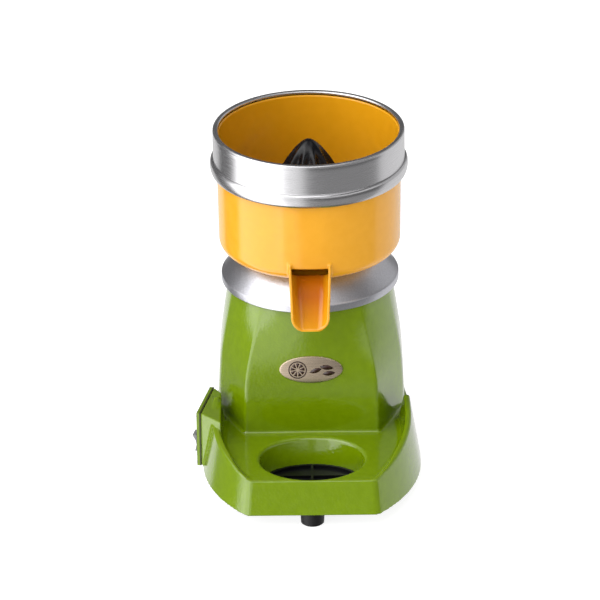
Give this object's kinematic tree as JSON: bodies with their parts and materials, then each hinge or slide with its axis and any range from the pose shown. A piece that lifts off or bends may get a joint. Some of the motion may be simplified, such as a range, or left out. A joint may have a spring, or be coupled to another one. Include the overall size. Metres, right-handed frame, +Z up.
{
  "type": "citrus press juicer",
  "caption": "Upright citrus juicer: cast stand with a motor, lift-off bowl with spout, sieve, ribbed reamer, steel splash ring and a glass recess in front.",
  "frame": {"origin": "middle of the bounding box at the level of the soles of the feet; the shaft axis is 4.2 mm to the right of it and 39.05 mm behind it", "axes": "+Z up along the motor shaft, -Y towards the glass recess and spout, +X to the right of a user facing the spout"},
  "size_m": [0.2128, 0.3062, 0.3198],
  "materials": {
    "green_paint": "glossy hammered enamel",
    "dark_sheet": "satin",
    "black_rubber": "matte",
    "screw_steel": "zinc plated",
    "shaft_steel": "ground",
    "bearing_steel": "polished",
    "collar_aluminium": "satin, fine hammered grain",
    "cast_aluminium": "as cast",
    "core_steel": "blued laminations",
    "copper_wire": "enamelled",
    "orange_plastic": "gloss",
    "sieve_steel": "fine brushed",
    "black_plastic": "gloss",
    "ring_steel": "fine brushed round the rim",
    "black_insert": "satin",
    "badge_metal": "champagne anodised",
    "pale_plastic": "satin",
    "grey_plastic": "satin"
  },
  "bodies": {
    "root": {"body_casting": "green_paint", "switch_plate": "green_paint", "base_plate": "dark_sheet", "feet": "black_rubber", "shaft_seal": "black_rubber", "switch_gasket": "black_rubber", "foot_screws": "screw_steel", "collar_screws": "screw_steel", "tie_bolts": "screw_steel", "motor_screws": "screw_steel", "switch_screws": "screw_steel", "badge_clips": "screw_steel", "capacitor_clip": "screw_steel", "wave_washer": "screw_steel", "rocker_pin": "screw_steel", "upper_bearing_outer": "bearing_steel", "upper_bearing_balls": "bearing_steel", "lower_bearing_outer": "bearing_steel", "lower_bearing_balls": "bearing_steel", "collar": "collar_aluminium", "upper_end_shield": "cast_aluminium", "lower_end_shield": "cast_aluminium", "stator_core": "core_steel", "stator_windings": "copper_wire", "badge": "badge_metal", "terminal_block": "pale_plastic", "run_capacitor": "pale_plastic", "switch_body": "black_plastic", "cable_gland": "black_insert", "gland_nut": "black_insert"},
    "rotor": {"motor_shaft": "shaft_steel", "rotor_core": "core_steel", "cooling_fan": "pale_plastic", "fan_circlip": "screw_steel", "upper_bearing_inner": "bearing_steel", "lower_bearing_inner": "bearing_steel", "slinger": "black_insert", "drive_pin": "shaft_steel"},
    "bowl": {"bowl": "orange_plastic"},
    "sieve": {"sieve": "sieve_steel"},
    "reamer": {"reamer": "black_plastic"},
    "splash_ring": {"splash_ring": "ring_steel"},
    "glass_insert": {"glass_insert": "black_insert"},
    "switch_rocker": {"switch_rocker": "grey_plastic"}
  },
  "joints": [
    {"name": "rotor_spin", "type": "hinge", "parent": "root", "child": "rotor", "pos_m": [0.00421, 0.03905, 0.1], "axis": [0, 0, 1], "continuous": true},
    {"name": "bowl_lift", "type": "slide", "parent": "root", "child": "bowl", "axis": [0, 0, 1], "range_m": [0, 0.075]},
    {"name": "sieve_lift", "type": "slide", "parent": "bowl", "child": "sieve", "axis": [0, 0, 1], "range_m": [0, 0.1]},
    {"name": "reamer_spin", "type": "hinge", "parent": "sieve", "child": "reamer", "pos_m": [0.00421, 0.03905, 0.238], "axis": [0, 0, 1], "continuous": true},
    {"name": "ring_lift", "type": "slide", "parent": "bowl", "child": "splash_ring", "axis": [0, 0, 1], "range_m": [0, 0.05]},
    {"name": "insert_lift", "type": "slide", "parent": "root", "child": "glass_insert", "axis": [0, 0, 1], "range_m": [0, 0.04]},
    {"name": "switch_rock", "type": "hinge", "parent": "root", "child": "switch_rocker", "pos_m": [-0.09701, -0.04155, 0.038], "axis": [0.213, 0.977, 0], "range_deg": [0, 16]}
  ],
  "couplings": [
    {"joint": "reamer_spin", "follows": "rotor_spin", "ratio": 1}
  ]
}
